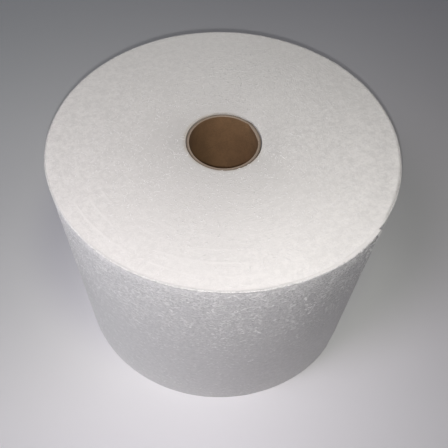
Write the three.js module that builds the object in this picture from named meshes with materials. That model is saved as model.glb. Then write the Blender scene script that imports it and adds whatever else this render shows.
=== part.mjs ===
// Insulation roll: one long web of thin non-woven insulation mat, wound on a cardboard core tube.
// The roll stands on one end. Millimetres, +Z up, origin in the middle of the end it stands on.

import * as THREE from 'three';
import { mergeVertices } from 'three/addons/utils/BufferGeometryUtils.js';

// ---- Driving dimensions -------------------------------------------------------------------------

// The core tube is rolled from kraft paper, and its bore is the one that a 3 inch mandrel takes.
const coreBore = 76;
const coreWall = 3.5;
const coreSetBack = 0; // how far each end of the tube lies inside the mat's end

// The web of mat. Its width is the height of the standing roll.
const webWidth = 276;
const webThickness = 1.16; // of one turn, squeezed as it is in the roll
const rollDiameter = 382;

// The clearance between the tube and the first turn, and the small roundings of the mat's edges
const seatClearance = 0.3;
const mouthEase = 0.8; // where the bore opens on each end
const rimEase = 1.2; // where each end meets the outside

// The turns show on both ends as one spiral groove, a line for every so many turns of the web,
// inside an outer band that was wound level.
const turnsPerLine = 13;
const levelBand = 13.4;
const grooveWidth = 2.4;
const grooveDepth = 0.6;

// The web's free end. It is swollen because nothing presses on it, and its upper corner stands off.
const tailAzimuth = -34.8; // degrees, seen from above, anticlockwise from +X
const tailHold = 8; // degrees of the roll that the tail covers at its full rise
const tailRun = 38; // degrees from the cut end to where the tail lies flush again
const cornerRise = 1.75; // how far the upper corner stands off, over and above the web's thickness
const cornerDrop = 66; // how far down the cut end that goes

// The number of flat facets round the roll and round the tube
const facets = 72;

// ---- Sizes that follow --------------------------------------------------------------------------

const coreRadius = coreBore / 2 + coreWall;
const matBoreRadius = coreRadius + seatClearance;
const rollRadius = rollDiameter / 2;

// The spiral runs from the level band's inner edge to the mouth of the bore in a whole number of turns.
const spiralOuter = rollRadius - levelBand;
const spiralInner = matBoreRadius + mouthEase;
const spiralTurns = Math.max(1, Math.round((spiralOuter - spiralInner) / (turnsPerLine * webThickness)));
const linePitch = (spiralOuter - spiralInner) / spiralTurns;

// ---- Materials ----------------------------------------------------------------------------------

const matFleece = new THREE.MeshStandardMaterial({
  name: 'mat_fleece',
  color: new THREE.Color(0.8, 0.8, 0.79),
  roughness: 0.95,
  metalness: 0,
});

const kraftBoard = new THREE.MeshStandardMaterial({
  name: 'kraft_board',
  color: new THREE.Color(0.3, 0.17, 0.09),
  roughness: 0.85,
  metalness: 0,
});

// ---- Turned solids ------------------------------------------------------------------------------

// Turns a closed section, given as radius and height anticlockwise, round the Z axis. The first
// and last columns of points both lie on the azimuth where the turning starts.
function turn(section, startAzimuth) {
  const profile = section.map((point) => new THREE.Vector2(point.radius, point.height));
  profile.push(profile[0].clone());
  // A lathe turns about Y and starts on +Z, which comes to -Y once the shape stands up.
  const start = THREE.MathUtils.degToRad(startAzimuth + 90);
  const turned = new THREE.LatheGeometry(profile, facets, start, 2 * Math.PI);
  turned.rotateX(Math.PI / 2);
  return turned;
}

// Joins the points that lie on each other and leaves out the triangles that shrank to nothing.
function sewn(geometry) {
  geometry.deleteAttribute('normal');
  geometry.deleteAttribute('uv');
  const joined = mergeVertices(geometry, 1e-3);
  const corners = joined.getIndex().array;
  const kept = [];
  for (let i = 0; i < corners.length; i += 3) {
    const [a, b, c] = corners.subarray(i, i + 3);
    if (a !== b && b !== c && c !== a) {
      kept.push(a, b, c);
    }
  }
  joined.setIndex(kept);
  joined.computeVertexNormals();
  return joined;
}

// ---- The mat ------------------------------------------------------------------------------------

// The points of the spiral groove where it crosses the section, from the rim to the bore. There is
// one line more than fits at either side, because the lines drift inwards as the roll is followed
// round, so that one grows at the level band while another closes at the bore.
function grooveLines(endHeight, inward) {
  const points = [];
  for (let line = -1; line <= spiralTurns; line += 1) {
    const middle = spiralOuter - line * linePitch;
    for (const across of [0.5, 0, -0.5]) {
      points.push({
        role: 'groove',
        radius: middle + across * grooveWidth,
        height: endHeight,
        sunk: across === 0 ? inward * grooveDepth : 0,
      });
    }
  }
  return points;
}

// The mat's section, anticlockwise: up the outside, in along the upper end, down the bore and out
// along the lower end.
function matSection() {
  const sideHeights = [rimEase, webWidth - cornerDrop, webWidth - cornerDrop * 0.6];
  sideHeights.push(webWidth - cornerDrop * 0.3, webWidth - rimEase);
  return [
    { role: 'outside', radius: rollRadius - rimEase, height: 0 },
    ...sideHeights.map((height) => ({ role: 'outside', radius: rollRadius, height })),
    { role: 'outside', radius: rollRadius - rimEase, height: webWidth },
    ...grooveLines(webWidth, -1),
    { role: 'bore', radius: matBoreRadius, height: webWidth - mouthEase },
    { role: 'bore', radius: matBoreRadius, height: mouthEase },
    ...grooveLines(0, 1).reverse(),
  ];
}

// How far the free end stands out at a height, where wound is the share of a turn from its cut end
function tailRise(wound, height) {
  const lying = THREE.MathUtils.smoothstep(wound * 360, tailHold, tailRun);
  const corner = THREE.MathUtils.smoothstep(height, webWidth - cornerDrop, webWidth);
  return (1 - lying) * (webThickness + cornerRise * corner);
}

// Where a point of the section lies once the web has been followed round by a share of a turn
function woundPoint(point, wound) {
  if (point.role === 'outside') {
    return { radius: point.radius + tailRise(wound, point.height), height: point.height };
  }
  if (point.role === 'groove') {
    const drifted = point.radius - wound * linePitch;
    const radius = THREE.MathUtils.clamp(drifted, spiralInner, spiralOuter);
    // The groove runs out where it leaves the level band and where it reaches the bore.
    const room = Math.min(spiralOuter - radius, radius - spiralInner) / grooveWidth;
    return { radius, height: point.height + point.sunk * Math.min(1, room) };
  }
  return point;
}

// The turned solid, wound: its ring grooves become one spiral, and the free end stands out.
function woundMat() {
  const section = matSection();
  const mat = turn(section, tailAzimuth);
  const positions = mat.getAttribute('position');
  const rowLength = section.length + 1;
  for (let column = 0; column <= facets; column += 1) {
    // From the cut end the web runs clockwise and inwards, and the columns run anticlockwise.
    const wound = 1 - column / facets;
    const azimuth = THREE.MathUtils.degToRad(tailAzimuth) - wound * 2 * Math.PI;
    for (let row = 0; row < rowLength; row += 1) {
      const { radius, height } = woundPoint(section[row % section.length], wound);
      const index = column * rowLength + row;
      positions.setXYZ(index, radius * Math.cos(azimuth), radius * Math.sin(azimuth), height);
    }
  }

  // The cut end of the web: the step between the last column, on the tail, and the first, under it
  const lastColumn = facets * rowLength;
  const outside = section.map((point, row) => row).filter((row) => section[row].role === 'outside');
  const cut = [section.length - 1, ...outside, outside.length];
  const corners = Array.from(mat.getIndex().array);
  for (let i = 0; i + 1 < cut.length; i += 1) {
    const [low, high] = [cut[i], cut[i + 1]];
    corners.push(low, high, lastColumn + low);
    corners.push(lastColumn + low, high, lastColumn + high);
  }
  mat.setIndex(corners);
  return sewn(mat);
}

// ---- The core tube ------------------------------------------------------------------------------

function coreTube() {
  const section = [
    { radius: coreRadius, height: coreSetBack },
    { radius: coreRadius, height: webWidth - coreSetBack },
    { radius: coreBore / 2, height: webWidth - coreSetBack },
    { radius: coreBore / 2, height: coreSetBack },
  ];
  return sewn(turn(section, tailAzimuth));
}

// ---- The roll -----------------------------------------------------------------------------------

function named(name, geometry, material) {
  const mesh = new THREE.Mesh(geometry, material);
  mesh.name = name;
  return mesh;
}

const insulationRoll = new THREE.Group();
insulationRoll.name = 'insulation_roll';
insulationRoll.add(named('wound_mat', woundMat(), matFleece));
insulationRoll.add(named('core_tube', coreTube(), kraftBoard));

export default insulationRoll;
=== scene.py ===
"""Roll of thin white insulation mat, wound on a cardboard core and standing on one end.

The web of mat, its loose fibres and the core tube are each made by an operator of their own, around the
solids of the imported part. Sizes are in metres, and the roll stands on the floor with its axis on +Z.
"""

import math

import bpy
import numpy as np
from mathutils import Matrix, Vector, noise


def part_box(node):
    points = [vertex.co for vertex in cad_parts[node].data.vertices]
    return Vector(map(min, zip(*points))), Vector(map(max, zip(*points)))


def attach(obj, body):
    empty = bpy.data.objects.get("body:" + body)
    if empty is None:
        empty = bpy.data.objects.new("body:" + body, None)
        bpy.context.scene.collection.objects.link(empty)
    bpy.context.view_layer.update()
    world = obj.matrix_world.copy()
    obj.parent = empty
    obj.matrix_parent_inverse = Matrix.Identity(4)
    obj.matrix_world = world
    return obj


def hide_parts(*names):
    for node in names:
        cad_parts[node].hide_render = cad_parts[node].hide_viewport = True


bl_info = {
    "name": "Insulation Roll",
    "version": (1, 0, 0),
    "blender": (4, 5, 0),
    "location": "View3D > Sidebar > Roll",
    "description": "Makes a roll of thin insulation mat on its cardboard core",
    "category": "Add Mesh",
}

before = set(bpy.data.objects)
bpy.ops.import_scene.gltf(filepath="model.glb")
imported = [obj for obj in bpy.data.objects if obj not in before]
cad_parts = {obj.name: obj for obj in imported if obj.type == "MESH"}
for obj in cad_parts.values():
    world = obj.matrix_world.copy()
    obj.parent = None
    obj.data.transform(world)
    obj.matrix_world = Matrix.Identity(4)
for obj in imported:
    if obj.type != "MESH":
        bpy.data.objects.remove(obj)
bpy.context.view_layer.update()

# ---- Sizes that the solids give ---------------------------------------------------------------------------

MM = 0.001
MAT_LOW, MAT_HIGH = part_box("wound_mat")
TUBE_LOW, TUBE_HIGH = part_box("core_tube")
WEB_WIDTH = MAT_HIGH.z - MAT_LOW.z
TUBE_RADIUS = TUBE_HIGH.x
ROLL_RADIUS = -MAT_LOW.x

# The cut end of the web and the knock in the tube's rim, seen from above and anticlockwise from +X
TAIL_AZIMUTH = math.radians(-34.8)
KNOCK_AZIMUTH = math.radians(45.4)

# Level directions from the axis, towards the right, the back, the knock, the middle of the free end, the
# side where the first turns have the least painted shade and glue stain, and the lines on the ends
RIGHT = (1.0, 0.0, 0.0)
BACK = (0.0, 1.0, 0.0)
KNOCK_SIDE = (math.cos(KNOCK_AZIMUTH), math.sin(KNOCK_AZIMUTH), 0.0)
TAIL_SIDE = (0.643, -0.766, 0.0)
LEAST_SHADE_AND_STAIN_SIDE = (0.94, 0.34, 0.0)
LINES_SIDE = (-0.42, -0.91, 0.0)

# How far the side leans in at the upper rim and at the foot, in millimetres every 15 degrees. The first and
# the last number are at -X.
RIM_OUTLINE = (0.0, -0.3, 0.8, 1.0, 0.55, 0.75, 0.75, 0.0, -0.1, 0.45, 0.15, 0.1)
RIM_OUTLINE += (0.0, 0.45, 0.4, 0.4, 1.0, 0.9, 0.9, 1.4, 1.5, 1.6, 1.15, 0.85, 0.0)
FOOT_OUTLINE = (0.7, 0.7, 0.7, 0.3, 0.0, 0.0, 0.0, 0.0, 0.0, 0.4, 1.2, 1.2)
FOOT_OUTLINE += (1.2, 1.2, 0.9, 0.6, 0.6, 0.6, 0.6, 0.6, 0.6, 0.6, 0.6, 0.7, 0.7)

# The upper end is as high as it gets from this share of the roll's radius on
DISH_SHARE = 0.65
# The lower edge of the last turn rolls over by this share of the upper one's drop
FOOT_SHARE = 0.3
# How far before the cut, in radians, the turns below start to rise to meet the free end
FILL_RUN = 0.12
# The middle of the side's swelling and how far it spreads to both sides, in degrees
BULGE_AZIMUTH = -22.0
BULGE_SPREAD = 14.0
# How far down and to both sides, in degrees, the tube's rim is knocked, and the bend of its edges
KNOCK_HEIGHT = 11.0 * MM
KNOCK_SPREAD = 7.0
BOARD_BEND = 0.25 * MM


# ---- Settings ---------------------------------------------------------------------------------------------


def length(name, text, default):
    """A length in metres."""
    return bpy.props.FloatProperty(name=name, description=text, default=default, unit="LENGTH", precision=5)


def angle(name, text, degrees):
    """An angle, which is given in degrees here."""
    default = math.radians(degrees)
    return bpy.props.FloatProperty(name=name, description=text, default=default, subtype="ANGLE")


def share(name, text, default):
    """A number from 0 to 1."""
    return bpy.props.FloatProperty(
        name=name, description=text, default=default, min=0.0, max=1.0, subtype="FACTOR"
    )


def power(name, text, default):
    """The power of a lamp in watts."""
    return bpy.props.FloatProperty(name=name, description=text, default=default, min=0.0, unit="POWER")


def paint(name, text, default):
    """A colour, in linear light."""
    return bpy.props.FloatVectorProperty(
        name=name, description=text, default=default, size=3, min=0.0, max=1.0, subtype="COLOR"
    )


def count(name, text, default):
    """A whole number."""
    return bpy.props.IntProperty(name=name, description=text, default=default, min=1)


class WebSizes(bpy.types.PropertyGroup):
    """The web of mat and how it is wound."""

    roll_radius: length("Roll Radius", "Outside of the last turn", ROLL_RADIUS)
    web_width: length("Web Width", "Width of the web, the height of the standing roll", WEB_WIDTH)
    pitch: length("Turn Pitch", "How far apart the turns lie", 1.16 * MM)
    thickness: length("Web Thickness", "Thickness of the web as it is wound", 1.145 * MM)
    points_per_turn: count("Points per Turn", "Stations of the web in each turn", 84)
    edge_wander: length("Edge Wander", "How far the web's edge wanders along the axis", 0.07 * MM)
    wander_run: length("Wander Run", "Length of web over which its edge wanders", 0.11)
    rim_drop: length("Rim Drop", "How far the last turn's outside starts below the end", 1.3 * MM)
    rim_band: length("Rim Band", "Width of the band that rolls over at the rim", 3.0 * MM)
    flare: length("Flare", "How far the last turn stands out at the upper rim", 0.35 * MM)
    flare_band: length("Flare Band", "Height of the band that stands out below the upper rim", 5.0 * MM)
    proud: length("Proud", "How far the inner turns stand out at the upper end", 0.9 * MM)
    dish: length("Dish", "How much higher the outer turns stand than the inner ones", 0.95 * MM)
    out_of_round: share("Out of Round", "How much of its unevenness the roll's outline has", 1.0)
    bulge: length("Bulge", "How far the side swells towards the upper rim beside the cut end", 0.9 * MM)
    core_dip: length("Core Dip", "How far the first turns dip beside the tube", 0.3 * MM)
    core_band: length("Core Band", "Width of the band that dips beside the tube", 6.0 * MM)
    line_turns: bpy.props.FloatProperty(
        name="Turns per Line", description="Turns between two lines on the end", default=13.0, min=2.0
    )
    line_start: length("First Line", "How far inside the rim the first line lies", 15.7 * MM)
    line_rise: length("Line Rise", "How far the web's edge stands up at a line", 0.16 * MM)
    line_width: length("Line Width", "Half the width of a line", 2.4 * MM)
    corner_rise: length("Corner Rise", "How far the upper corner of the free end stands off", 2.1 * MM)
    corner_drop: length("Corner Drop", "How far down the free end its corner stands off", 66 * MM)
    tail_hold: angle("Tail Hold", "Part of a turn that the free end covers at its full rise", 8.0)
    tail_run: angle("Tail Run", "Part of a turn after which the free end lies flush", 38.0)


class CoreSizes(bpy.types.PropertyGroup):
    """The cardboard tube."""

    radius: length("Outer Radius", "Outside of the tube", TUBE_RADIUS)
    wall: length("Wall", "Thickness of the tube's wall", 3.1 * MM)
    oval: length("Oval", "How far the tube is out of round", 0.75 * MM)
    knock: length("Knock", "How far the knock at the tube's rim stands out", 1.1 * MM)
    crush: length("Crush", "How far the inner plies lean into the bore", 0.9 * MM)
    sunk: length("Sunk", "How far the tube's upper end lies below the solid's", 0.2 * MM)


class FibreSizes(bpy.types.PropertyGroup):
    """The loose strands of fibres that lie on the mat."""

    side_number: count("On the Side", "Strands on the roll's side", 13200)
    side_length: length("Side Length", "Length of the longest strands on the side", 5.0 * MM)
    side_width: length("Side Width", "Width of a strand on the side", 0.75 * MM)
    end_number: count("On the Upper End", "Strands on the upper end", 4400)
    end_length: length("End Length", "Length of the longest strands on the end", 4.5 * MM)
    end_width: length("End Width", "Width of a strand on the end", 0.6 * MM)
    rim_number: count("On the Rims", "Strands along the two rims, most of them on the upper one", 6800)
    rim_length: length("Rim Length", "Length of the longest strands along the rims", 4.5 * MM)
    rim_width: length("Rim Width", "Width of a strand along the rims", 0.38 * MM)
    height: length("Strand Height", "How far a strand stands up from the mat", 0.28 * MM)
    curl: length("Curl", "How far a strand strays from a straight line", 2.2 * MM)


class Finishes(bpy.types.PropertyGroup):
    """Colours of the pieces."""

    edge: paint("Edge", "Cut edge of the white mat, which shows on the ends", (0.818, 0.803, 0.783))
    face: paint("Face", "Face of the white mat, which shows on the side", (0.745, 0.733, 0.72))
    fibre: paint("Fibre", "Loose strands of bright fibre", (0.96, 0.95, 0.94))
    glue: paint("Glue Tint", "First turns, glued to the tube", (0.56, 0.5, 0.42))
    board: paint("Board", "Kraft board inside the bore", (0.24, 0.135, 0.064))
    board_edge: paint("Board Edge", "Cut end of the board", (0.285, 0.235, 0.19))


class StageLook(bpy.types.PropertyGroup):
    """The floor, the lamps and the daylight."""

    floor: paint("Floor", "Pale floor", (0.84, 0.839, 0.843))
    # Painted pool of light on the floor in front of the roll
    floor_front: paint("Floor in Front", "Paler floor in front of the roll", (0.95, 0.948, 0.953))
    fill_power: power("Fill Power", "Large, soft lamp on the left", 4.488)
    key_power: power("Key Power", "Lamp above, a little to the right", 1.461)
    left_power: power("Left Power", "Narrow lamp above, on the left", 0.772)
    lens_power: power("Lens Power", "Very small lamp just below the lens", 1.3)
    daylight: share("Daylight", "Soft light from all round", 0.0522)


class RollSettings(bpy.types.PropertyGroup):
    """Everything that can be set on the roll."""

    web: bpy.props.PointerProperty(type=WebSizes, name="Web", description="Sizes of the web")
    core: bpy.props.PointerProperty(type=CoreSizes, name="Core", description="Sizes of the tube")
    fibres: bpy.props.PointerProperty(type=FibreSizes, name="Fibres", description="Sizes of the fibres")
    finishes: bpy.props.PointerProperty(type=Finishes, name="Finishes", description="Colours")
    stage: bpy.props.PointerProperty(type=StageLook, name="Stage", description="Floor and lamps")


# ---- Node trees -------------------------------------------------------------------------------------------


class Value:
    """What a node gives. Numbers can be added, multiplied and so on, which adds the nodes that do it."""

    def __init__(self, net, socket):
        self.net = net
        self.socket = socket

    def __add__(self, other):
        return self.net.math("ADD", self, other)

    def __sub__(self, other):
        return self.net.math("SUBTRACT", self, other)

    def __rsub__(self, other):
        return self.net.math("SUBTRACT", other, self)

    def __mul__(self, other):
        return self.net.math("MULTIPLY", self, other)

    def __truediv__(self, other):
        return self.net.math("DIVIDE", self, other)

    def __rtruediv__(self, other):
        return self.net.math("DIVIDE", other, self)

    def __pow__(self, other):
        return self.net.math("POWER", self, other)

    def __abs__(self):
        return self.net.math("ABSOLUTE", self)


class Net:
    """Adds nodes to a tree and joins them up."""

    def __init__(self, tree):
        self.tree = tree

    def join(self, value, socket):
        """Gives a socket a plain value, or links it to what a node gives."""
        if isinstance(value, Value):
            self.tree.links.new(value.socket, socket)
        else:
            socket.default_value = value

    def add(self, kind, inputs=None, **settings):
        """A node with its settings made and its inputs given."""
        node = self.tree.nodes.new(kind)
        for name, value in settings.items():
            setattr(node, name, value)
        for name, value in (inputs or {}).items():
            self.join(value, node.inputs[name])
        return node

    def out(self, node, output=0):
        """What a node gives at one of its outputs."""
        return Value(self, node.outputs[output])

    def get(self, kind, inputs=None, output=0, **settings):
        """What a new node gives."""
        return self.out(self.add(kind, inputs, **settings), output)

    def math(self, operation, a, b=0.0, c=0.0):
        """The result of a sum on numbers."""
        return self.get("ShaderNodeMath", {0: a, 1: b, 2: c}, operation=operation)

    def vector(self, operation, a, b=(0.0, 0.0, 0.0)):
        """The result of a sum on vectors."""
        output = 1 if operation in {"DOT_PRODUCT", "LENGTH", "DISTANCE"} else 0
        return self.get("ShaderNodeVectorMath", {0: a, 1: b}, output, operation=operation)

    def scaled(self, vector, factor):
        """A vector or colour, made longer or brighter."""
        return self.get("ShaderNodeVectorMath", {0: vector, 3: factor}, operation="SCALE")

    def parts(self, vector):
        """The three numbers of a vector."""
        node = self.add("ShaderNodeSeparateXYZ", {0: vector})
        return self.out(node, 0), self.out(node, 1), self.out(node, 2)

    def whole(self, x, y, z):
        """The vector of three numbers."""
        return self.get("ShaderNodeCombineXYZ", {0: x, 1: y, 2: z})

    def flat(self, place):
        """A place brought down to the floor."""
        return self.vector("MULTIPLY", place, (1.0, 1.0, 0.0))

    def from_axis(self, place):
        """How far a place lies from the roll's axis."""
        return self.vector("LENGTH", self.flat(place))

    def level(self, place):
        """The level direction from the roll's axis to a place."""
        return self.vector("NORMALIZE", self.flat(place))

    def facing(self, place, side):
        """1 at the side of the roll in a level direction, 0 at right angles to it and -1 opposite."""
        return self.vector("DOT_PRODUCT", self.level(place), side)

    def noise(self, place, scale, detail, roughness=0.5, distortion=0.0, output=0):
        """A soft noise."""
        inputs = {"Vector": place, "Scale": scale, "Detail": detail, "Roughness": roughness}
        return self.get("ShaderNodeTexNoise", {**inputs, "Distortion": distortion}, output)

    def ramp(self, value, low, high, to_low=0.0, to_high=1.0):
        """value brought smoothly from low..high to to_low..to_high."""
        inputs = {0: value, 1: low, 2: high, 3: to_low, 4: to_high}
        return self.get("ShaderNodeMapRange", inputs, interpolation_type="SMOOTHSTEP")

    def table(self, value, numbers):
        """Numbers at even steps from 0 to 1, with straight lines between them. They lie between -2 and 2."""
        node = self.add("ShaderNodeFloatCurve", {"Value": value})
        curve = node.mapping.curves[0]
        curve.points[0].location = (0.0, 0.5 + 0.25 * numbers[0])
        curve.points[1].location = (1.0, 0.5 + 0.25 * numbers[-1])
        for step in range(1, len(numbers) - 1):
            curve.points.new(step / (len(numbers) - 1), 0.5 + 0.25 * numbers[step])
        for point in curve.points:
            point.handle_type = "VECTOR"
        node.mapping.update()
        return self.out(node) * 4.0 - 2.0

    def capture(self, geometry, kind, value):
        """Geometry that keeps a value on its points, and the kept value."""
        node = self.add("GeometryNodeCaptureAttribute", {0: geometry}, domain="POINT")
        node.capture_items.new(kind, "Kept")
        self.join(value, node.inputs[1])
        return self.out(node, 0), self.out(node, 1)

    def mix(self, factor, a, b):
        """Two colours mixed."""
        return self.get("ShaderNodeMix", {0: factor, 6: a, 7: b}, 2, data_type="RGBA")


def toned(tint, factor=1.0):
    """A colour setting as four numbers, made paler or darker."""
    return (*(min(c * factor, 1.0) for c in tint), 1.0)


def geometry_tree(name, values):
    """An empty Geometry Nodes tree with an input for each value. Gives its Net and its inputs by name."""
    kinds = {float: "Float", int: "Int", str: "String", bpy.types.Material: "Material"}
    tree = bpy.data.node_groups.new(name, "GeometryNodeTree")
    tree.interface.new_socket("Geometry", in_out="INPUT", socket_type="NodeSocketGeometry")
    tree.interface.new_socket("Geometry", in_out="OUTPUT", socket_type="NodeSocketGeometry")
    for label, value in values.items():
        tree.interface.new_socket(label, in_out="INPUT", socket_type="NodeSocket" + kinds[type(value)])
    net = Net(tree)
    group_input = net.add("NodeGroupInput")
    return net, {socket.name: Value(net, socket) for socket in group_input.outputs}


def finish_tree(net, geometry, material):
    """Keeps the geometry above the floor, makes instances real, gives the material and ends the tree."""
    above = net.vector("MAXIMUM", net.get("GeometryNodeInputPosition"), (-10.0, -10.0, 0.0))
    pressed = net.get("GeometryNodeSetPosition", {0: geometry, "Position": above})
    real = net.get("GeometryNodeRealizeInstances", {0: pressed})
    dressed = net.get("GeometryNodeSetMaterial", {0: real, 2: material})
    net.add("NodeGroupOutput", {0: dressed})
    return net.tree


def new_object(name, data):
    """An object in the scene with a mesh, a lamp's data or a camera's."""
    item = bpy.data.objects.new(name, data)
    bpy.context.scene.collection.objects.link(item)
    return item


def grown(name, tree, values, carrier=None):
    """A plain mesh piece that a Geometry Nodes tree grows from a carrier mesh."""
    host = new_object(name + "_host", carrier or bpy.data.meshes.new(name + "_host"))
    modifier = host.modifiers.new("Grow", "NODES")
    modifier.node_group = tree
    for item in tree.interface.items_tree:
        if item.in_out == "INPUT" and item.name in values:
            modifier[item.identifier] = values[item.name]
    depsgraph = bpy.context.evaluated_depsgraph_get()
    mesh = bpy.data.meshes.new_from_object(host.evaluated_get(depsgraph), depsgraph=depsgraph)
    host.modifiers.remove(modifier)
    bpy.data.objects.remove(host)
    if not len(mesh.polygons):
        raise RuntimeError(name + " grew no faces")
    mesh.name = name
    return new_object(name, mesh)


def dress(piece, node=None):
    """Lets a finished piece ride on the roll and stand for a solid."""
    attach(piece, "root")
    if node:
        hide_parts(node)


# ---- Finishes ---------------------------------------------------------------------------------------------


def new_material(name):
    """An empty node material, its Net, its shader and its object coordinates."""
    material = bpy.data.materials.new(name)
    material.use_nodes = True
    material.node_tree.nodes.clear()
    net = Net(material.node_tree)
    shader = net.add("ShaderNodeBsdfPrincipled")
    net.add("ShaderNodeOutputMaterial", {0: net.out(shader)})
    return material, net, shader, net.get("ShaderNodeTexCoord", output="Object")


def finish_shader(net, shader, tone, height, strength, depth, settings):
    """Gives a shader its colour, its fine relief and its plain settings."""
    bump = net.get("ShaderNodeBump", {"Height": height, "Strength": strength, "Distance": depth})
    net.join(tone, shader.inputs["Base Color"])
    net.join(bump, shader.inputs["Normal"])
    for name, value in settings.items():
        shader.inputs[name].default_value = value


# The dull, slightly downy look of loose fibres
FELT = {"Roughness": 0.95, "Specular IOR Level": 0.2, "Sheen Weight": 0.15, "Sheen Roughness": 0.5}


def strands(net, place, size, seed, sharpness):
    """Curly strands: where a soft noise crosses its middle value, drawn out thin. 1 on a strand, 0 off it."""
    moved = net.vector("ADD", place, (seed * 0.37, seed * 0.11, seed * 0.23))
    cloud = net.noise(moved, 1.0 / size, 1.5, distortion=0.8)
    return net.ramp(abs(cloud - 0.5), 0.0, sharpness, 1.0, 0.0)


def line_band(net, place, rim, first, spacing, half_width):
    """1 on the lines of the roll's ends and 0 between them. They show on the front and the left."""
    flat = net.flat(place)
    radius = net.from_axis(place)
    sway = net.noise(flat, 14.0, 1.0) * (3.0 * MM)
    inward = rim - (sway + radius)
    lines = (inward - first) / spacing
    beside = abs(net.math("FRACT", lines + 0.5) - 0.5) * spacing / half_width
    shows = net.ramp(net.noise(flat, 22.0, 2.0), 0.4, 0.62)
    shows = shows * net.ramp(net.facing(place, LINES_SIDE), 0.1, 0.9, 0.08, 0.8)
    outer = net.ramp(radius, 0.5 * ROLL_RADIUS, 0.75 * ROLL_RADIUS, 0.3, 1.0)
    return net.ramp(beside, 0.0, 1.0, 1.0, 0.0) * outer * shows


def beside_tail(net, place):
    """1 within a few degrees of the free end, 0 further round the roll."""
    return net.ramp(net.facing(place, TAIL_SIDE), 0.9, 0.975)


def face_material(settings):
    """The face of the web: a close net of curly strands, flattened along the web and fainter lower down."""
    material, net, shader, place = new_material("felt_face")
    tint = settings.finishes.face
    width = settings.web.web_width
    x, y, up = net.parts(place)
    to_right, to_front = x / ROLL_RADIUS, y / -ROLL_RADIUS
    flattened = net.vector("MULTIPLY", place, (1.0, 1.0, 1.5))
    grain = net.noise(place, 520.0, 1.5, 0.6)
    fading = net.ramp(up, 0.2 * width, width) ** 1.5 * 0.92 + 0.08
    amount = fading * net.ramp(net.noise(place, 32.0, 2.0), 0.3, 0.6, 0.6, 1.0)
    amount = amount * net.ramp(to_right, -0.8, 0.9, 0.85, 1.5)
    strokes = strands(net, flattened, 6.0 * MM, 1.0, 0.08)
    for size, seed, sharpness in ((4.2 * MM, 2.0, 0.09), (3.0 * MM, 3.0, 0.1)):
        strokes = net.math("MAXIMUM", strokes, strands(net, flattened, size, seed, sharpness))
    strokes = strokes * amount
    # Duller where strands lie close, with bright strands, dark specks and pale specks, and a little uneven
    tone = net.mix(amount, toned(tint), toned(tint, 0.88))
    tone = net.mix(strokes * 0.7, tone, toned(tint, 1.12))
    tone = net.mix(net.ramp(grain, 0.32, 0.46, 1.0, 0.0) * amount, tone, toned(tint, 0.77))
    tone = net.mix(net.ramp(grain, 0.56, 0.68) * amount, tone, toned(tint, 1.16))
    uneven = net.ramp(net.noise(flattened, 230.0, 3.0, 0.6), 0.35, 0.65, 0.955, 1.045)
    # Painted light: paler just under the upper rim. Painted shade: darker on the right and at the far left
    shaded = net.ramp(to_right, 0.3, 0.7, 0.0, 0.2) * net.ramp(up, 0.2 * width, 0.9 * width)
    left_shade = net.ramp(to_right, -0.95, -0.6, 0.13, 0.0) * net.ramp(up, 0.25 * width, 0.6 * width)
    below = net.ramp(up, width - 14.0 * MM, width + 1.0 * MM, 1.0, 1.17) * (1.0 - (shaded + left_shade))
    # Painted shade: duller on the lip in front, where the rim rolls over
    on_tail = beside_tail(net, place)
    lip = net.ramp(to_front, 0.65, 0.9) * (1.0 - on_tail)
    lip = lip * net.ramp(up, width - 1.4 * MM, width + 0.2 * MM, 0.0, 0.08)
    tone = net.scaled(net.scaled(net.scaled(tone, uneven), below), 1.0 - lip)
    # On the upper end itself it is like the other turns, with painted shade making it greyer in front, except
    # on the free end
    painted_end_shade = on_tail * 0.18 + net.ramp(to_front, 0.75, 0.97, 0.86, 0.76)
    on_end = net.ramp(up, width + 0.9 * MM, width + 1.8 * MM)
    tone = net.mix(on_end, tone, net.scaled(tuple(settings.finishes.edge), painted_end_shade))
    height = (strokes * 0.5 + grain) * (fading * 0.7 + 0.3)
    finish_shader(net, shader, tone, height, 0.24, 0.25 * MM, FELT)
    return material


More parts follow.
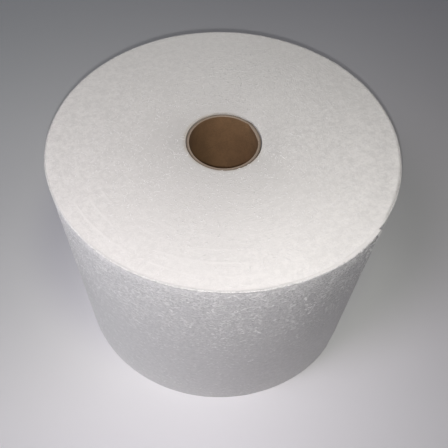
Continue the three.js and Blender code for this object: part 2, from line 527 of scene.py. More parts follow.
def edge_material(settings):
    """The cut edges of the turns: finer and more even, with lines painted paler as highlights and painted
    shade towards the tube.
    """
    material, net, shader, place = new_material("felt_edge")
    web, tint = settings.web, settings.finishes.edge
    x, y, _ = net.parts(place)
    to_right, to_front = x / ROLL_RADIUS, y / -ROLL_RADIUS
    radius = net.from_axis(place)
    cloud = net.noise(place, 200.0, 3.0, 0.55)
    long, short = strands(net, place, 5.0 * MM, 4.0, 0.06), strands(net, place, 3.4 * MM, 5.0, 0.08)
    fine = cloud * 1.1 + net.noise(place, 1000.0, 3.0, 0.6) * 0.7
    height = net.math("MAXIMUM", long, short) * 0.2 + fine
    # The felt is a little darker towards the left and the right
    sideways = net.facing(place, RIGHT)
    coarse = sideways * sideways
    tone = net.mix(coarse, toned(tint, 0.965), toned(tint, 0.87))
    tone = net.mix(net.ramp(height, 0.7, 1.32), tone, toned(tint, 1.055))
    # Painted highlight: the lines are painted paler where their edges stand up
    spacing = web.line_turns * web.pitch
    lines = line_band(net, place, web.roll_radius, web.line_start, spacing, web.line_width)
    tone = net.mix(lines, tone, toned(tint, 1.035))
    # Painted shade, darker towards the tube, and a glue stain beside it, both least at the back on the right
    inward = net.math("MINIMUM", (TUBE_RADIUS - radius) / (0.3 * ROLL_RADIUS), 0.0)
    shade_and_stain_facing = net.ramp(net.facing(place, LEAST_SHADE_AND_STAIN_SIDE), 0.5, 0.95, 1.1, 0.15)
    shade = net.math("EXPONENT", inward) * shade_and_stain_facing * net.ramp(to_front, -0.3, 0.15, 0.5, 1.0)
    tone = net.mix(shade, tone, toned(tint, 0.85))
    near_core = net.ramp(radius, TUBE_RADIUS, TUBE_RADIUS + 5.0 * MM, 1.0, 0.0)
    stain = near_core * net.ramp(cloud, 0.3, 0.7, 0.36, 0.73) * shade_and_stain_facing
    tone = net.mix(stain, tone, toned(settings.finishes.glue))
    # Painted light and shade: paler outwards, a little more so on the left and the right, brighter on the
    # right in front, and greyer on the left in front
    out = radius / ROLL_RADIUS
    paler = (coarse * out * 0.08 + 1.0) * (out * 0.1 + 0.9) + to_right * 0.02
    paler = paler + net.math("MAXIMUM", to_right, 0.0) * to_front * 0.2
    from_shaded_patch = net.vector("DISTANCE", place, (-0.2 * ROLL_RADIUS, -0.5 * ROLL_RADIUS, web.web_width))
    paler = paler - net.ramp(from_shaded_patch, 0.0, 0.75 * ROLL_RADIUS, 0.055, 0.0)
    # Painted shade: the outermost turns are greyer where the rim rolls over, except on the left and on
    # the free end
    painted_rim_shade = net.ramp(radius, ROLL_RADIUS - 4.0 * MM, ROLL_RADIUS - 1.2 * MM, 0.0, 0.2)
    painted_rim_shade = painted_rim_shade * net.ramp(to_right, -0.95, -0.7) * (1.0 - beside_tail(net, place))
    finish_shader(net, shader, net.scaled(tone, paler - painted_rim_shade), height, 0.27, 0.25 * MM, FELT)
    return material


def fibre_material(finishes):
    """Bright strands with a slight gloss, with painted shade along the upper rim, and duller lower down."""
    material, net, shader, place = new_material("fibre")
    cloud = net.ramp(net.noise(place, 130.0, 2.0), 0.35, 0.65)
    tone = net.mix(cloud, toned(finishes.fibre, 0.9), toned(finishes.fibre))
    radius, up = net.from_axis(place), net.parts(place)[2]
    # Painted shade along the upper rim, except beside the free end
    at_rim = net.ramp(radius, ROLL_RADIUS - 3.4 * MM, ROLL_RADIUS - 1.8 * MM)
    at_rim = at_rim * net.ramp(up, WEB_WIDTH - 2.0 * MM, WEB_WIDTH) * (1.0 - beside_tail(net, place))
    # Duller too on the front and the back of the upper end
    sideways = net.facing(place, RIGHT)
    on_end = net.ramp(sideways * sideways, 0.0, 0.7, 0.08, 0.0)
    on_end = on_end * net.ramp(up, WEB_WIDTH, WEB_WIDTH + 0.6 * MM)
    bright = net.ramp(up, 0.3 * WEB_WIDTH, 0.8 * WEB_WIDTH, 0.92, 1.0) - on_end - at_rim * 0.22
    settings = {"Roughness": 0.6, "Specular IOR Level": 0.4}
    relief = net.noise(place, 2500.0, 1.0)
    finish_shader(net, shader, net.scaled(tone, bright), relief, 0.3, 0.08 * MM, settings)
    return material


def board_material(finishes, core):
    """Brown kraft board, with its plies showing on the cut ends and a seam winding up the bore."""
    material, net, shader, place = new_material("board")
    seam_climb, ply_thickness = 105.0 * MM, 0.58 * MM
    x, y, up = net.parts(place)
    pulp = net.noise(place, 500.0, 4.0, 0.65)
    cloud = net.noise(place, 60.0, 2.0)
    climb = up / seam_climb + net.math("ARCTAN2", y, x) / math.tau
    seam = net.ramp(abs(net.math("FRACT", climb) - 0.5), 0.0, 0.012, 1.0, 0.0)
    dark = toned(finishes.board, 0.72)
    wall = net.mix(net.ramp(pulp * 0.7 + cloud * 0.5, 0.4, 0.8), dark, toned(finishes.board))
    wall = net.mix(seam * 0.18, wall, toned(finishes.board, 0.4))
    # The tube is slightly oval, and so are its plies
    sideways = net.facing(place, RIGHT)
    oval = sideways * sideways * 2.0 - 1.0
    depth = TUBE_RADIUS - (oval * core.oval + net.from_axis(place))
    ply = abs(net.math("FRACT", depth / ply_thickness) - 0.5)
    cut = net.mix(net.ramp(ply, 0.3, 0.5), toned(finishes.board_edge), toned(finishes.board_edge, 0.6))
    cut = net.mix(net.ramp(pulp, 0.35, 0.7, 0.35, 0.0), cut, dark)
    # Painted shade in the gap along the outside of the cut end, and a painted highlight along the bore
    cut = net.scaled(cut, net.ramp(depth, 0.5 * MM, 1.3 * MM, 0.6, 1.0))
    cut = net.scaled(cut, net.ramp(depth, core.wall - 1.6 * MM, core.wall - 0.8 * MM, 1.0, 1.35))
    middle = 0.5 * (TUBE_LOW.z + TUBE_HIGH.z - core.sunk)
    on_end = net.ramp(abs(up - middle), middle - 0.9 * MM, middle - 0.45 * MM)
    relief = pulp - seam * 0.3
    finish_shader(net, shader, net.mix(on_end, wall, cut), relief, 0.4, 0.25 * MM, {"Roughness": 0.8})
    return material


# ---- The web ----------------------------------------------------------------------------------------------


def tail_angle(net, given, place):
    """How far round the roll a place lies from the cut end, clockwise seen from above."""
    x, y, _ = net.parts(place)
    return net.math("WRAP", given["Tail Angle"] - net.math("ARCTAN2", y, x), math.tau)


def turns_tree(values):
    """Winds a thin web edge-on into a flat spiral, from the core out to the free end."""
    net, given = geometry_tree("Web Turns", values)
    spiral = net.get(
        "GeometryNodeCurveSpiral",
        {
            "Resolution": given["Points per Turn"],
            "Rotations": given["Turns"],
            "Start Radius": given["Inner Radius"],
            "End Radius": given["Outer Radius"],
            "Height": 0.0,
            "Reverse": True,
        },
    )
    start = net.whole(0.0, 0.0, given["End Angle"] - given["Turns"] * math.tau)
    turned = net.get("GeometryNodeTransform", {0: spiral, "Rotation": start})

    run = net.get("GeometryNodeSplineParameter", output="Length")
    inputs = {"W": run / given["Wander Run"] + given["Seed"], "Detail": 3.0}
    along = net.get("ShaderNodeTexNoise", inputs, noise_dimensions="1D")
    wander = (along - 0.5) * (given["Edge Wander"] * 3.0)

    # The outer turns lie a little wider, to meet the last turn all the way round
    place = net.get("GeometryNodeInputPosition")
    radius = net.from_axis(place)
    from_tail = tail_angle(net, given, place)
    past_run = net.math("WRAP", from_tail - given["Tail Run"], math.tau)
    flush = net.ramp(from_tail, given["Tail Hold"], given["Tail Run"])
    under = flush * net.math("LESS_THAN", from_tail, given["Tail Run"])
    gap = (past_run / math.tau - under) * given["Pitch"]
    gap = gap * net.ramp(given["Rim Radius"] - radius, 3.0 * MM, 28.0 * MM, 1.0, 0.0)
    # The inner turns follow the tube, which is a little wider along Y than along X
    near_tube = radius - given["Core Radius"]
    along_y = net.facing(place, BACK)
    wide = (along_y * along_y * 2.0 - 1.0) * net.ramp(near_tube, 0.0, 25.0 * MM, 1.0, 0.0)
    # The knock in the tube's rim pushes the first turns outwards
    sharpness = 2.0 / math.radians(KNOCK_SPREAD) ** 2
    knock = net.math("EXPONENT", (net.facing(place, KNOCK_SIDE) - 1.0) * sharpness)
    knock = knock * net.ramp(near_tube, 0.0, 8.0 * MM, 1.0, 0.0)
    gap = gap + wide * given["Oval"] + knock * given["Knock"]
    offset = net.vector("ADD", net.whole(0.0, 0.0, wander), net.scaled(net.level(place), gap))
    wandering = net.get("GeometryNodeSetPosition", {0: turned, "Offset": offset})
    upright = net.get("GeometryNodeSetCurveNormal", {0: wandering}, mode="Z_UP")

    size = {"Width": given["Web Thickness"], "Height": given["Web Width"]}
    section = net.get("GeometryNodeCurvePrimitiveQuadrilateral", size)
    corners = {0: section, "Count": 1, "Radius": given["Web Thickness"] * 0.06}
    rounded = net.get("GeometryNodeFilletCurve", corners, mode="POLY")
    wound = net.get("GeometryNodeCurveToMesh", {0: upright, 1: rounded, "Fill Caps": True})

    # From here on the places are those of the wound web. The free end lies on the turns below it from the
    # cut on, and they fill up to it just before. The upper and the lower edge roll over at the rim.
    x, y, z = net.parts(place)
    lying = flush * net.ramp(from_tail, math.tau - FILL_RUN, math.tau, 1.0, 0.0)
    outline = (1.0 - lying) * given["Tail Rise"] + given["Rim Radius"]
    rim = 1.0 - (outline - radius) / given["Rim Band"]
    rim = net.math("MINIMUM", net.math("MAXIMUM", rim, 0.0), 1.0)
    rim = 1.0 - net.math("SQRT", 1.0 - rim * rim)
    core = (given["Core Radius"] + given["Core Band"] - radius) / given["Core Band"]
    core = net.math("MAXIMUM", core, 0.0) ** 2.0
    drop = rim * given["Rim Drop"] + core * given["Core Dip"]
    # The lines, a number of turns apart, at which the edge of the web stands up for a stretch
    sizes = (given[name] for name in ("Rim Radius", "First Line", "Line Spacing", "Line Width"))
    drop = drop - line_band(net, place, *sizes) * given["Line Rise"]
    dish = net.ramp(radius, given["Core Radius"], given["Rim Radius"] * DISH_SHARE)
    drop = drop - (dish * given["Dish"] + given["Proud"])
    sink = net.whole(0.0, 0.0, net.math("SIGN", z) * drop)
    # The roll is a little out of round, and differently so at its rim and at its foot
    about = net.math("ARCTAN2", y, x) / math.tau + 0.5
    at_foot, at_rim = net.table(about, FOOT_OUTLINE), net.table(about, RIM_OUTLINE)
    inward = at_foot + net.math("GREATER_THAN", z, 0.0) * (at_rim - at_foot)
    near_rim = net.ramp(given["Rim Radius"] - radius, 0.0, 60.0 * MM, MM, 0.0)
    inward = net.scaled(net.level(place), inward * near_rim * given["Out of Round"])
    moved = net.scaled(net.vector("ADD", sink, inward), -1.0)
    shaped = net.get("GeometryNodeSetPosition", {0: wound, "Offset": moved})
    half_up = net.whole(0.0, 0.0, given["Web Width"] * 0.5)
    lifted = net.get("GeometryNodeTransform", {0: shaped, "Translation": half_up})
    flat = net.get("GeometryNodeSetShadeSmooth", {0: lifted, "Shade Smooth": False})
    return finish_tree(net, flat, given["Felt"])


class ROLL_OT_web_turns(bpy.types.Operator):
    """Winds the turns of the web between the core and the last turn"""

    bl_idname = "roll.web_turns"
    bl_label = "Wind the Turns"

    def execute(self, context):
        settings = context.scene.insulation_roll
        web, core = settings.web, settings.core
        inner = core.radius + 0.4 * MM + 0.5 * web.thickness
        outer = web.roll_radius - 1.5 * web.pitch - 0.05 * MM
        values = {
            "Inner Radius": inner,
            "Outer Radius": outer,
            "Turns": (outer - inner) / web.pitch,
            "Pitch": web.pitch,
            "Points per Turn": web.points_per_turn,
            "End Angle": TAIL_AZIMUTH - web.tail_run,
            "Web Width": web.web_width,
            "Web Thickness": web.thickness,
            "Edge Wander": web.edge_wander,
            "Wander Run": web.wander_run,
            "Rim Radius": web.roll_radius,
            "Rim Drop": web.rim_drop,
            "Rim Band": web.rim_band,
            "Tail Angle": TAIL_AZIMUTH,
            "Tail Hold": web.tail_hold,
            "Tail Run": web.tail_run,
            "Tail Rise": web.pitch + web.corner_rise,
            "Core Radius": core.radius,
            "Core Dip": web.core_dip,
            "Core Band": web.core_band,
            "Oval": core.oval,
            "Knock": core.knock,
            "Proud": web.proud,
            "Dish": web.dish,
            "Out of Round": web.out_of_round,
            "Line Spacing": web.line_turns * web.pitch,
            "First Line": web.line_start,
            "Line Rise": web.line_rise,
            "Line Width": web.line_width,
            "Seed": 4.0,
            "Felt": edge_material(settings),
        }
        dress(grown("web_turns", turns_tree(values), values), "wound_mat")
        return {"FINISHED"}


def smoothstep(value, low, high):
    """0 below low, 1 above high and a smooth step between."""
    t = np.clip((value - low) / (high - low), 0.0, 1.0)
    return t * t * (3.0 - 2.0 * t)


def lumps(points, size, seed):
    """Soft noise from about -1 to 1 at each point."""
    shift = Vector((seed * 1.7, seed * 2.3, seed * 0.9))
    return np.array([noise.noise(Vector(p) / size + shift) for p in points])


def ring_points(radius, azimuth, height):
    """The places of a grid of points, column after column, each column at an azimuth of its own."""
    places = (radius * np.cos(azimuth)[:, None], radius * np.sin(azimuth)[:, None], height)
    return np.stack(places, axis=-1).reshape(-1, 3)


def new_mesh(name, points, faces):
    """A mesh of points and faces."""
    mesh = bpy.data.meshes.new(name)
    mesh.from_pydata([tuple(p) for p in points], [], faces)
    return mesh


def grid_faces(columns, rows, closed_rows=True, closed_columns=False):
    """The faces between the columns of a grid, whose rows and columns may each run round."""
    faces = []
    for c in range(columns if closed_columns else columns - 1):
        here, there = c * rows, (c + 1) % columns * rows
        for r in range(rows if closed_rows else rows - 1):
            s = (r + 1) % rows
            faces.append((here + r, here + s, there + s, there + r))
    return faces


def degrees_from(middle, azimuth):
    """How far each azimuth lies from a middle one, in degrees from -180 to 180."""
    return (np.degrees(azimuth) - middle + 180.0) % 360.0 - 180.0


def outward_of(points):
    """The level direction away from the axis at each point."""
    level = points * (1.0, 1.0, 0.0)
    return level / np.linalg.norm(level, axis=1)[:, None]


def side_relief(points):
    """How far the soft face of the last turn swells or sinks at each point."""
    return 0.14 * MM * lumps(points, 7.0 * MM, 3.0) + 0.1 * MM * lumps(points, 22.0 * MM, 5.0)


def nap(points):
    """The fine relief of the felt's face: short, level ridges and hollows."""
    return 0.05 * MM * lumps(points * (1.0, 1.0, 2.0), 2.6 * MM, 8.0)


def end_rise(radius, web, core):
    """How far the upper end stands out at a radius: it is slightly dished."""
    dish = web.proud + web.dish * smoothstep(radius, core.radius, DISH_SHARE * web.roll_radius)
    beside_tube = np.clip((core.radius + web.core_band - radius) / web.core_band, 0.0, 1.0)
    return dish - web.core_dip * beside_tube**2


def side_flare(azimuth, up, web):
    """How far the soft side stands out towards the upper rim, and swells beside the cut end."""
    flare = web.flare * np.clip(1.0 - (web.web_width - up) / web.flare_band, 0.0, 1.0) ** 2
    bulge = web.bulge * np.exp(-((degrees_from(BULGE_AZIMUTH, azimuth) / BULGE_SPREAD) ** 2))
    return flare[None, :] + np.outer(bulge, smoothstep(up, 0.5 * web.web_width, 0.85 * web.web_width))


def lean(azimuth, up, web):
    """How far the side leans in at each azimuth and height, as the roll is a little out of round."""
    stations = np.linspace(-180.0, 180.0, len(RIM_OUTLINE))
    degrees = degrees_from(0.0, azimuth)
    rim, foot = (np.interp(degrees, stations, outline) for outline in (RIM_OUTLINE, FOOT_OUTLINE))
    part = up / web.web_width
    return web.out_of_round * MM * (np.outer(rim, part) + np.outer(foot, 1.0 - part))


def tail_rise(wound, up, web):
    """How flush each column lies, how near each row is to the corner, and how far the free end rises."""
    lying = smoothstep(wound, web.tail_hold, web.tail_run)
    corner = smoothstep(up, web.web_width - web.corner_drop, web.web_width)
    return lying, corner, np.outer(1.0 - lying, web.pitch + web.corner_rise * corner)


def rolled_over(outline, radius, web):
    """How far the edge drops at a radius, as it rolls over towards the outline of the roll."""
    part = np.clip(1.0 - (outline - radius) / web.rim_band, 0.0, 1.0)
    return web.rim_drop * (1.0 - np.sqrt(1.0 - part**2))


def last_turn_mesh(web, core):
    """The last turn of the web as a closed sheet, with its swollen free end at the first column."""
    # How far each column lies from the cut end, in degrees at first. They lie close on the free end.
    free_end, further = np.linspace(0.7, 40.0, 90, endpoint=False), np.linspace(40.0, 398.0, 470)
    wound = np.radians(np.concatenate([free_end, further]))
    azimuth = TAIL_AZIMUTH - wound

    # The section: up the outside, over the upper edge, down the inside and round the lower edge. Each point
    # has its share of the way in from the outside, and its height.
    close_from = 0.62 * web.web_width
    coarse = np.linspace(FOOT_SHARE * web.rim_drop, close_from, 62, endpoint=False)
    outside = np.concatenate([coarse, np.linspace(close_from, web.web_width - web.rim_drop, 78)])
    inside = outside[::-16]
    over = np.append(1.0 - np.cos(np.radians(np.linspace(0.0, 90.0, 9)[1:-1])), (0.96, 1.0))
    into = np.concatenate([np.zeros(len(outside)), over, np.ones(len(inside)), over[::-1]])
    up = np.concatenate([outside, np.full(len(over), web.web_width), inside, np.zeros(len(over))])

    # How far the sheet stands out from the roll: the free end rises, and the other end runs under it
    past = np.maximum(wound - math.tau, 0.0)
    lying, corner, rise = tail_rise(wound, up, web)
    under = smoothstep(past, web.tail_hold, web.tail_run)
    tip = 1.1 * MM * np.outer(np.exp(-((np.degrees(wound) / 4.0) ** 2)), corner)
    covered = smoothstep(past, 0.0, math.radians(2.0))[:, None]
    inward = lean(azimuth, up, web)
    outer = web.roll_radius + rise - (under * web.pitch)[:, None] - tip
    outer = outer + (1.0 - covered) * side_flare(azimuth, up, web) - inward
    inner = web.roll_radius - web.thickness + (1.0 - lying - under)[:, None] * web.pitch - inward
    radius = outer + (inner - outer) * into[None, :]

    # The upper and the lower edge roll over towards the outline of the roll
    filled = smoothstep(wound, math.tau - FILL_RUN, math.tau) * (1.0 - under)
    outline = web.roll_radius + np.maximum(rise, filled[:, None] * (web.pitch + web.corner_rise)) - inward
    edge = (up == web.web_width) * 1.0 - (up == 0.0) * FOOT_SHARE
    height = up[None, :] - edge[None, :] * rolled_over(outline, radius, web)
    upper = smoothstep(up, 0.9 * web.web_width, web.web_width)
    height = height + upper[None, :] * end_rise(radius, web, core)

    # The upper edge is ragged along its outside
    flat = ring_points(radius, azimuth, np.zeros(radius.shape))
    ragged = 0.3 * MM * (lumps(flat, 30.0 * MM, 7.0) + lumps(flat, 4.5 * MM, 6.0))
    at_edge = (1.0 - into) * smoothstep(up, 0.96 * web.web_width, web.web_width)
    height = height + ragged.reshape(radius.shape) * np.outer(wound < math.tau, at_edge)
    return ring_points(radius, azimuth, height), len(wound), len(up)


class ROLL_OT_web_outside(bpy.types.Operator):
    """Lays the last turn of the web round the roll, with its free end standing off"""

    bl_idname = "roll.web_outside"
    bl_label = "Lay the Last Turn"

    def execute(self, context):
        settings = context.scene.insulation_roll
        points, columns, rows = last_turn_mesh(settings.web, settings.core)
        points = points + (side_relief(points) + nap(points))[:, None] * outward_of(points)
        points[:, 2] = np.maximum(points[:, 2], 0.0)
        faces = grid_faces(columns, rows)
        last = (columns - 1) * rows
        faces += [tuple(reversed(range(rows))), tuple(range(last, last + rows))]
        mesh = new_mesh("web_outside", points, faces)
        mesh.validate()
        mesh.shade_smooth()
        mesh.materials.append(face_material(settings))
        dress(new_object("web_outside", mesh), "wound_mat")
        return {"FINISHED"}


# ---- Loose fibres -----------------------------------------------------------------------------------------


def fibres_tree(values):
    """Scatters curly strands over a skin. They lie on it and bend round its rims."""
    net, given = geometry_tree("Loose Fibres", values)
    skin = given["Geometry"]
    place = net.get("GeometryNodeInputPosition")

    def chance(low, high, number):
        """A random number for each point, from a draw of its own."""
        inputs = {2: low, 3: high, "Seed": given["Seed"] + number}
        return net.get("FunctionNodeRandomValue", inputs, 1, data_type="FLOAT")

    def nearest(value, sought):
        """A value of the skin at its place nearest to a sought one."""
        inputs = {"Mesh": skin, "Value": value, "Sample Position": sought}
        return net.get("GeometryNodeSampleNearestSurface", inputs, data_type="FLOAT_VECTOR")

    amount = net.get("GeometryNodeInputNamedAttribute", {"Name": given["Amount"]}, data_type="FLOAT")
    inputs = {"Mesh": skin, "Density": amount * given["Density"], "Seed": given["Seed"]}
    scatter = net.add("GeometryNodeDistributePointsOnFaces", inputs)
    points, girth = net.capture(net.out(scatter, "Points"), "FLOAT", chance(0.5, 1.25, 3.0))
    points, standing = net.capture(points, "FLOAT", chance(0.0, 1.0, 4.0) ** 2.0)
    straight = net.get("GeometryNodeCurvePrimitiveLine", {"Start": (-0.5, 0, 0), "End": (0.5, 0, 0)})
    strand = net.get("GeometryNodeResampleCurve", {0: straight, "Count": given["Stations"]})
    turn = chance(given["Heading"] * -1.0, given["Heading"], 1.0)
    about = net.get("FunctionNodeAxisAngleToRotation", {"Axis": (0, 0, 1), "Angle": turn})
    inputs = {0: net.out(scatter, "Rotation"), 1: about}
    heading = net.get("FunctionNodeRotateRotation", inputs, rotation_space="LOCAL")
    size = net.whole(chance(0.35, 1.0, 2.0) * given["Longest"], 1.0, 1.0)
    inputs = {"Points": points, "Instance": strand, "Rotation": heading, "Scale": size}
    real = net.get("GeometryNodeRealizeInstances", {0: net.get("GeometryNodeInstanceOnPoints", inputs)})

    # Each strand strays sideways and is then laid on the nearest place of the skin
    cloud = net.noise(place, 1.0 / given["Curl Size"], 1.0, output="Color")
    stray = net.scaled(net.vector("SUBTRACT", cloud, (0.5, 0.5, 0.5)), given["Curl"] * 2.0)
    sought = net.vector("ADD", place, stray)
    on_skin = nearest(place, sought)
    strand, outward = net.capture(real, "VECTOR", nearest(net.get("GeometryNodeInputNormal"), sought))
    along = net.get("GeometryNodeSplineParameter", output="Factor")
    lift = net.ramp(net.noise(place, 400.0, 0.0), 0.45, 0.8) * given["Lift"]
    tip = along**3.0 * (standing * given["Tip Lift"])
    laid = net.vector("ADD", on_skin, net.scaled(outward, lift + tip))
    curled = net.get("GeometryNodeSetPosition", {0: strand, "Position": laid})
    turned = net.get("GeometryNodeSetCurveNormal", {0: curled, "Normal": outward}, mode="FREE")

    # A low three-sided section with its base in the skin, which thins out towards both tips
    circle = net.get("GeometryNodeCurvePrimitiveCircle", {"Resolution": 3, "Radius": 1.0})
    shape = net.whole(given["Height"], given["Width"] / math.sqrt(3.0), 1.0)
    section = net.get("GeometryNodeTransform", {0: circle, "Scale": shape})
    taper = girth * net.ramp(abs(along * 2.0 - 1.0), 0.3, 1.0, 1.0, 0.3)
    inputs = {0: turned, 1: section, "Scale": taper, "Fill Caps": True}
    smooth = net.get("GeometryNodeSetShadeSmooth", {0: net.get("GeometryNodeCurveToMesh", inputs)})
    return finish_tree(net, smooth, given["Fibre"])


def skin_mesh(web, core):
    """The outside of the roll as one sheet: from the tube over the upper end, down the side and back under.

    Its points say how many strands lie there, in one attribute for each group of strands.
    """
    wound = np.radians(np.linspace(0.0, 360.0, 361))
    azimuth = TAIL_AZIMUTH - wound
    rim_start = web.roll_radius - web.rim_band
    rim = np.linspace(rim_start, web.roll_radius, 12)[1:]
    ring = np.concatenate([np.linspace(core.radius + 1.0 * MM, rim_start, 30), rim])
    down = np.linspace(web.web_width - web.rim_drop, FOOT_SHARE * web.rim_drop, 76)[1:-1]
    radius = np.concatenate([ring, np.full(len(down), web.roll_radius), ring[::-1]])
    # 1 on the upper end, 0 on the side and below 0 under the foot, as far as the edges roll over there
    edge = np.concatenate([np.ones(len(ring)), np.zeros(len(down)), np.full(len(ring), -FOOT_SHARE)])
    height = np.concatenate([np.full(len(ring), web.web_width), down, np.zeros(len(ring))])

    rise = tail_rise(wound, height, web)[2]
    radius = radius[None, :] + rise * smoothstep(radius, rim_start, web.roll_radius)[None, :]
    z = height[None, :] - edge[None, :] * rolled_over(web.roll_radius + rise, radius, web)
    z = z + (edge > 0.0)[None, :] * end_rise(radius, web, core)
    near_rim = smoothstep(radius, web.roll_radius - 20.0 * MM, web.roll_radius)
    radius = radius + near_rim * (side_flare(azimuth, height, web) - lean(azimuth, height, web))

    points = ring_points(radius, azimuth, z)
    edge = np.broadcast_to(edge, radius.shape).reshape(-1)
    points = points + np.where(edge == 0.0, side_relief(points), 0.0)[:, None] * outward_of(points)
    mesh = new_mesh("skin", points, grid_faces(*radius.shape, closed_rows=False))

    r, z = radius.reshape(-1), z.reshape(-1)
    patches = np.clip(0.9 + 0.8 * lumps(points, 30.0 * MM, 9.0), 0.3, 1.5)
    on_end = 1.0 - 0.7 * smoothstep(r, 0.7 * web.roll_radius, 0.92 * web.roll_radius)
    from_end = np.minimum(z, web.web_width - z)
    from_rim = np.hypot(web.roll_radius - r, 0.3 * from_end)
    amounts = {
        "side": (edge == 0.0) * (0.1 + 0.9 * smoothstep(z, 0.38 * web.web_width, web.web_width)) * patches,
        "upper": (edge > 0.0) * on_end * patches,
        "rim": (1.0 - smoothstep(from_rim, 0.0, 6.0 * MM)) * np.where(z > 0.5 * web.web_width, 1.0, 0.15),
    }
    for name, amount in amounts.items():
        mesh.attributes.new(name, "FLOAT", "POINT").data.foreach_set("value", amount.astype(np.float32))
    return mesh


def amount_area(mesh, name):
    """The area of a skin, counted by how many strands lie on it."""
    amount = np.zeros(len(mesh.vertices))
    mesh.attributes[name].data.foreach_get("value", amount)
    return float(sum(face.area * amount[list(face.vertices)].mean() for face in mesh.polygons))


class ROLL_OT_fibres(bpy.types.Operator):
    """Scatters loose strands over the side, the upper end and the rims"""

    bl_idname = "roll.fibres"
    bl_label = "Scatter the Fibres"

    def execute(self, context):
        settings = context.scene.insulation_roll
        web, fibres = settings.web, settings.fibres
        skin = skin_mesh(web, settings.core)
        fibre = fibre_material(settings.finishes)
        # Group, number, longest, width, size of the curls, lift of the tips and how far they may turn from
        # level, in degrees
        half = fibres.side_number // 2
        side = ("side", half, fibres.side_length, fibres.side_width, 7.0 * MM, 0.3 * MM, 50.0)
        end = ("upper", fibres.end_number, fibres.end_length, fibres.end_width, 4.0 * MM, 0.2 * MM, 180.0)
        rim = ("rim", fibres.rim_number, fibres.rim_length, fibres.rim_width, 5.0 * MM, 2.2 * MM, 180.0)
        pieces = {"side_fibres_1": side, "side_fibres_2": side, "upper_end_fibres": end, "rim_fibres": rim}
        inputs = {}
        for turn, (name, piece) in enumerate(pieces.items(), 1):
            group, number, longest, width, curl_size, tip_lift, heading = piece
            inputs[name] = {
                "Amount": group,
                "Density": number / amount_area(skin, group),
                "Longest": longest,
                "Width": width,
                "Height": fibres.height,
                "Curl": fibres.curl,
                "Curl Size": curl_size,
                "Lift": 0.12 * MM,
                "Tip Lift": tip_lift,
                "Heading": math.radians(heading),
                "Stations": 4,
                "Seed": 10 * turn,
                "Fibre": fibre,
            }
        tree = fibres_tree(inputs["rim_fibres"])
        for name, values in inputs.items():
            dress(grown(name, tree, values, skin.copy()))
        bpy.data.meshes.remove(skin)
        return {"FINISHED"}


# ---- The core tube ----------------------------------------------------------------------------------------


def tube_mesh(core):
    """The tube as a closed ring, with its rim knocked and its inner plies crushed."""
    low, high = TUBE_LOW.z, TUBE_HIGH.z - core.sunk
    inner, outer = core.radius - core.wall, core.radius
    foot, top = low + BOARD_BEND, high - BOARD_BEND
    near = high - KNOCK_HEIGHT - 1.0 * MM
    outside = (foot, 0.25 * high, 0.5 * high, 0.75 * high, near, high - 6 * MM, high - 3 * MM, top)
    bore = np.concatenate([np.linspace(foot, near, 30), np.linspace(high - KNOCK_HEIGHT, top, 14)])
    rim = np.linspace(outer - BOARD_BEND, inner + BOARD_BEND, 13)
    section = [(outer, z) for z in outside] + [(r, high) for r in rim]
    section += [(inner, z) for z in bore[::-1]] + [(r, low) for r in rim[::-1]]
    radius, up = (np.array(v) for v in zip(*section))

    columns = 216
    azimuth = np.linspace(0.0, math.tau, columns, endpoint=False)
    near_top = smoothstep(up, high - KNOCK_HEIGHT, high)
    knock = np.exp(-((degrees_from(math.degrees(KNOCK_AZIMUTH), azimuth) / KNOCK_SPREAD) ** 2))
    # The inner plies are crushed from the right up to the knock
    degrees = degrees_from(0.0, azimuth)
    crushed = smoothstep(degrees, 2.0, 14.0) * (1.0 - smoothstep(degrees, 38.0, 52.0))
    bore_side = (outer - radius) / core.wall
    spread = np.outer(knock, near_top) * core.knock - np.outer(crushed, near_top * bore_side**2) * core.crush
    r = radius[None, :] + spread - core.oval * np.cos(2.0 * azimuth)[:, None]
    points = ring_points(r, azimuth, np.broadcast_to(up[None, :], r.shape))
    on_top = points[:, 2] > high - 0.5 * BOARD_BEND
    points[:, 2] += np.where(on_top, 0.12 * MM * lumps(points, 2.2 * MM, 2.0), 0.0)
    # The columns run anticlockwise here, so the faces are turned over to look outwards
    faces = [(a, d, c, b) for a, b, c, d in grid_faces(columns, len(section), closed_columns=True)]
    mesh = new_mesh("core_board", points, faces)
    mesh.shade_smooth()
    mesh.set_sharp_from_angle(angle=math.radians(50.0))
    return mesh


class ROLL_OT_core_board(bpy.types.Operator):
    """Makes the cardboard tube"""

    bl_idname = "roll.core_board"
    bl_label = "Make the Core"

    def execute(self, context):
        settings = context.scene.insulation_roll
        mesh = tube_mesh(settings.core)
        mesh.materials.append(board_material(settings.finishes, settings.core))
        dress(new_object("core_board", mesh), "core_tube")
        return {"FINISHED"}


# ---- Floor, lamps and camera ------------------------------------------------------------------------------


def round_lamp(name, place, aim, size, watts, tint, spread=180.0):
    """A round, flat lamp at a place, aimed at a point, which shines into a cone of spread degrees."""
    data = bpy.data.lights.new(name, "AREA")
    data.shape = "DISK"
    data.size = size
    data.spread = math.radians(spread)
    data.energy = watts
    data.color = tint
    lamp = new_object(name, data)
    lamp.location = place
    lamp.rotation_euler = (Vector(aim) - Vector(place)).to_track_quat("-Z", "Y").to_euler()


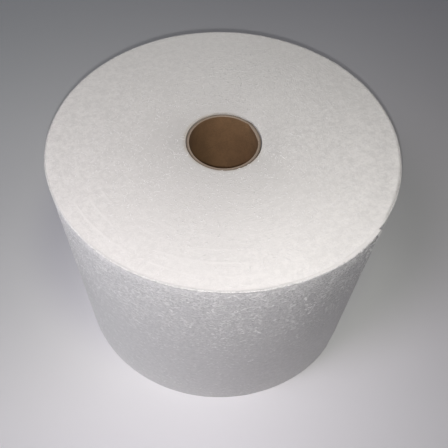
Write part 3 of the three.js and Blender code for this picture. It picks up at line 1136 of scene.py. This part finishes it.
def floor_material(look):
    """Pale paint, with painted pools of light and a patch of painted shade."""
    material, net, shader, place = new_material("floor_paint")
    pale = (0.98, 0.98, 0.975, 1.0)
    # Painted light and shade. The middle of each patch, how far it is even, how far it reaches, and its
    # colour
    patches = (
        ((0.05, -0.35, 0.0), 0.0, 0.7, toned(look.floor_front)),
        ((-1.0, 1.0, 0.0), 0.5, 1.15, pale),
        ((-0.34, 0.02, 0.0), 0.03, 0.3, (0.77, 0.77, 0.775, 1.0)),
        ((0.2, -0.03, 0.0), 0.02, 0.17, pale),
    )
    tone = toned(look.floor)
    for middle, even, reach, tint in patches:
        away = net.vector("DISTANCE", place, middle)
        tone = net.mix(net.ramp(away, even, reach, 1.0, 0.0), tone, tint)
    # A trace bluer in front
    in_front = net.ramp(net.vector("DOT_PRODUCT", place, (0.5, -1.0, 0.0)), 0.0, 0.3)
    tone = net.mix(in_front, tone, net.vector("MULTIPLY", tone, (1.0, 1.0, 1.03)))
    net.join(tone, shader.inputs["Base Color"])
    shader.inputs["Roughness"].default_value = 0.7
    return material


def daylight_world(strength):
    """Soft light from all round, and the plain grey that shows behind the floor."""
    world = bpy.data.worlds.new("daylight")
    world.use_nodes = True
    world.node_tree.nodes.clear()
    net = Net(world.node_tree)
    soft = net.get("ShaderNodeBackground", {"Color": (0.683, 0.647, 1.0, 1.0), "Strength": strength})
    seen = net.get("ShaderNodeBackground", {"Color": (0.5, 0.5, 0.52, 1.0), "Strength": 1.0})
    path = net.add("ShaderNodeLightPath")
    straight = net.out(path, "Is Camera Ray")
    for ray in ("Is Glossy Ray", "Is Transmission Ray"):
        straight = net.math("MAXIMUM", straight, net.out(path, ray))
    net.add("ShaderNodeOutputWorld", {0: net.get("ShaderNodeMixShader", {0: straight, 1: soft, 2: seen})})
    return world


def hang_camera(place, tilt, pan, roll, focal, centre):
    """A camera at a place. Its turns are in radians, its lens and its centre in pixels of a square frame."""
    pixels, sensor = 448.0, 36.0
    middle = 0.5 * (pixels - 1.0)
    ahead = Vector((math.sin(pan) * math.cos(tilt), math.cos(pan) * math.cos(tilt), -math.sin(tilt)))
    level = Vector((math.cos(pan), -math.sin(pan), 0.0))
    above = level.cross(ahead)
    right = math.cos(roll) * level + math.sin(roll) * above
    up = -math.sin(roll) * level + math.cos(roll) * above
    data = bpy.data.cameras.new("camera")
    data.sensor_width = sensor
    data.lens = focal / pixels * sensor
    data.shift_x = (middle - centre[0]) / pixels
    data.shift_y = (centre[1] - middle) / pixels
    camera = new_object("camera", data)
    turned = Matrix((right, up, -ahead)).transposed().to_4x4()
    camera.matrix_world = Matrix.Translation(place) @ turned
    return camera


class ROLL_OT_stage(bpy.types.Operator):
    """Lays the floor, hangs the lamps and sets up the camera"""

    bl_idname = "roll.stage"
    bl_label = "Set the Stage"

    def execute(self, context):
        scene = context.scene
        look = scene.insulation_roll.stage
        scene.view_settings.view_transform = "Standard"
        reach = 8.0
        corners = [(-reach, -reach, 0.0), (reach, -reach, 0.0), (reach, reach, 0.0), (-reach, reach, 0.0)]
        mesh = new_mesh("floor", corners, [(0, 1, 2, 3)])
        mesh.materials.append(floor_material(look))
        floor = new_object("floor", mesh)

        cool, warm = (0.874, 0.973, 1.0), (0.992, 1.0, 0.746)
        rosy, even = (1.0, 0.884, 0.978), (0.99, 0.996, 1.0)
        below_lens = (-0.000683, -0.452858, 0.706944)
        # The place of each lamp, what it aims at, how far it is across, its power, its tint and its cone
        round_lamp("fill_lamp", (-1.3, -0.6, 0.6), (0.0, -0.1, 0.1), 1.1, look.fill_power, cool)
        round_lamp("key_lamp", (0.1, -0.3, 1.1), (0.0, -0.3, 0.0), 0.2, look.key_power, warm)
        round_lamp("left_lamp", (-0.3, -0.4, 1.0), (0.0, -0.3, 0.0), 0.3, look.left_power, rosy, 90.0)
        round_lamp("lens_lamp", below_lens, (0.0, 1.2, 0.0), 0.007, look.lens_power, even, 140.0)
        scene.world = daylight_world(look.daylight)
        scene.camera = hang_camera(
            place=(0.0, -0.44262, 0.71328),
            tilt=1.01635,
            pan=-0.00812,
            roll=0.03607,
            focal=556.444,
            centre=(215.0, 275.0),
        )
        return {"FINISHED"}


# ---- Panel and run ----------------------------------------------------------------------------------------


class ROLL_PT_panel(bpy.types.Panel):
    """Lists the steps that make the roll"""

    bl_idname = "ROLL_PT_panel"
    bl_label = "Insulation Roll"
    bl_space_type = "VIEW_3D"
    bl_region_type = "UI"
    bl_category = "Roll"

    def draw(self, context):
        settings = context.scene.insulation_roll
        for group in (settings.web, settings.core, settings.fibres, settings.finishes, settings.stage):
            box = self.layout.box()
            for name in group.bl_rna.properties.keys():
                if name not in {"rna_type", "name"}:
                    box.prop(group, name)
        for operator in STEPS:
            self.layout.operator(operator.bl_idname)


STEPS = (
    ROLL_OT_stage,
    ROLL_OT_web_turns,
    ROLL_OT_web_outside,
    ROLL_OT_fibres,
    ROLL_OT_core_board,
)
CLASSES = (WebSizes, CoreSizes, FibreSizes, Finishes, StageLook, RollSettings, *STEPS, ROLL_PT_panel)


def register():
    for item in CLASSES:
        bpy.utils.register_class(item)
    bpy.types.Scene.insulation_roll = bpy.props.PointerProperty(type=RollSettings)


def unregister():
    del bpy.types.Scene.insulation_roll
    for item in reversed(CLASSES):
        bpy.utils.unregister_class(item)


def main():
    register()
    bpy.ops.roll.stage()
    bpy.ops.roll.web_turns()
    bpy.ops.roll.web_outside()
    bpy.ops.roll.fibres()
    bpy.ops.roll.core_board()


if __name__ == "__main__":
    main()
